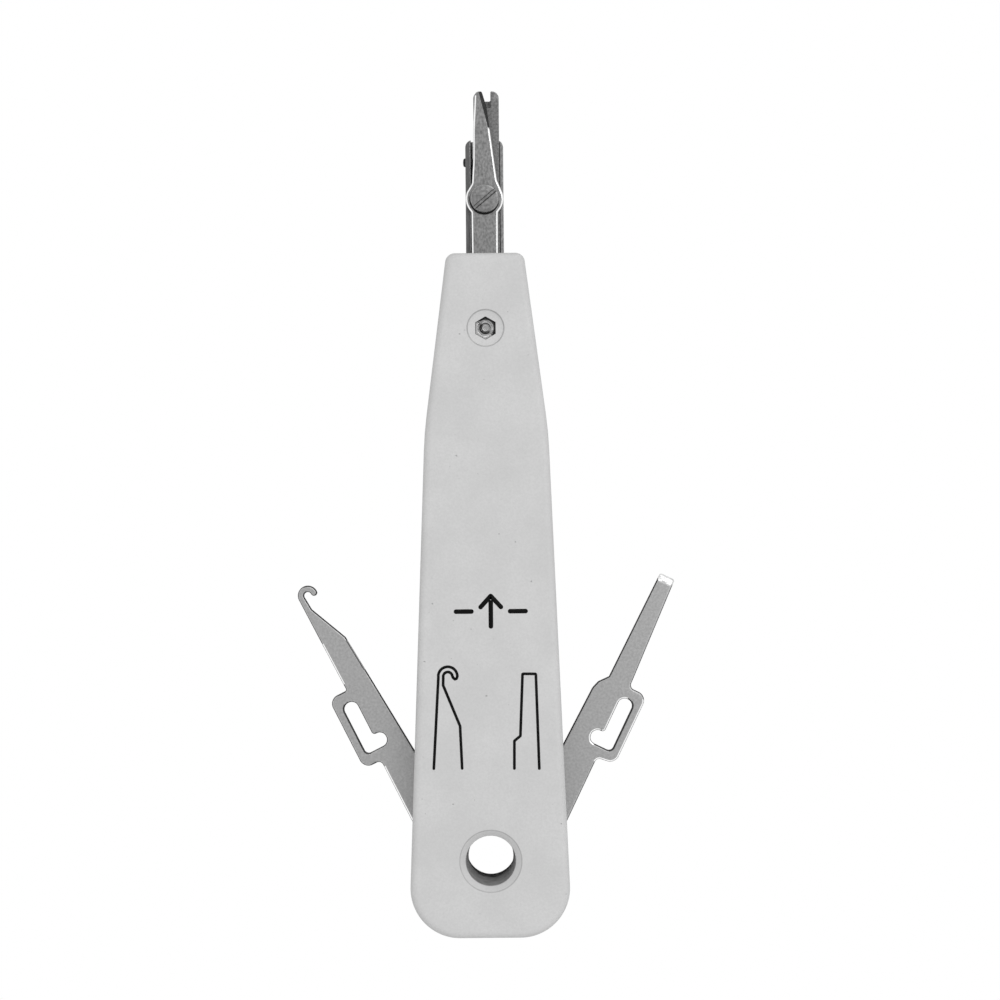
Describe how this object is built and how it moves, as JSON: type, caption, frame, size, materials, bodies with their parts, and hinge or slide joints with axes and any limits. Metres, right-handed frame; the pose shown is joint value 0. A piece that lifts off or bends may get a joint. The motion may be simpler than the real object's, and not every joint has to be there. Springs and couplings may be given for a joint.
{
  "type": "punch down tool",
  "caption": "Hand tool with a sprung punch down head, a scissor blade that trims the wire, and a wire hook and a spudger that swing out of the handle.",
  "frame": {"origin": "on the flat back of the handle, on the handle's axis, 70.6 mm from the butt", "axes": "+Y along the tool towards the tip, +Z out of the front face, +X to the right seen from the front"},
  "size_m": [0.0792, 0.1766, 0.021],
  "materials": {
    "handle_plastic": "fine moulded grain",
    "plated_fastener": "bright zinc plating",
    "channel_steel": "rolled sheet",
    "blade_steel": "ground, with polished edges",
    "swing_blade_steel": "blanked sheet, matt",
    "spring_steel": "drawn wire"
  },
  "bodies": {
    "handle": {"front_shell": "handle_plastic", "back_shell": "handle_plastic", "clamp_screw": "plated_fastener", "clamp_nut": "plated_fastener", "clamp_sleeve": "plated_fastener", "handle_screw": "plated_fastener", "hook_pivot_pin": "plated_fastener", "spudger_pivot_pin": "plated_fastener", "hook_friction_washer": "spring_steel", "spudger_friction_washer": "spring_steel", "spring_seat": "plated_fastener", "main_spring": "spring_steel", "cutter_cam_pin": "plated_fastener"},
    "head": {"slide_channel": "channel_steel", "insertion_blade": "blade_steel", "push_plate": "blade_steel", "cross_pin": "plated_fastener", "cutter_screw": "plated_fastener", "cutter_nut": "plated_fastener", "spring_rod": "plated_fastener"},
    "cutter": {"cutter_blade": "blade_steel"},
    "hook": {"hook_blade": "swing_blade_steel"},
    "spudger": {"spudger_blade": "swing_blade_steel"}
  },
  "joints": [
    {"name": "head_slide", "type": "slide", "parent": "handle", "child": "head", "axis": [0, -1, 0], "range_m": [0, 0.005], "stiffness_N_per_m": 2500, "springref_m": -0.012, "deforming": ["main_spring"]},
    {"name": "cutter_swing", "type": "hinge", "parent": "head", "child": "cutter", "pos_m": [0, 0.0833, 0.01215], "axis": [0, 0, -1], "range_deg": [0, 6]},
    {"name": "hook_swing", "type": "hinge", "parent": "handle", "child": "hook", "pos_m": [-0.011, -0.0489, 0.0105], "axis": [0, 0, 1], "range_deg": [-29, 153]},
    {"name": "spudger_swing", "type": "hinge", "parent": "handle", "child": "spudger", "pos_m": [0.011, -0.0489, 0.0105], "axis": [0, 0, -1], "range_deg": [-28, 154]}
  ],
  "couplings": [
    {"joint": "cutter_swing", "follows": "head_slide", "rad_per_m": 20.94}
  ]
}
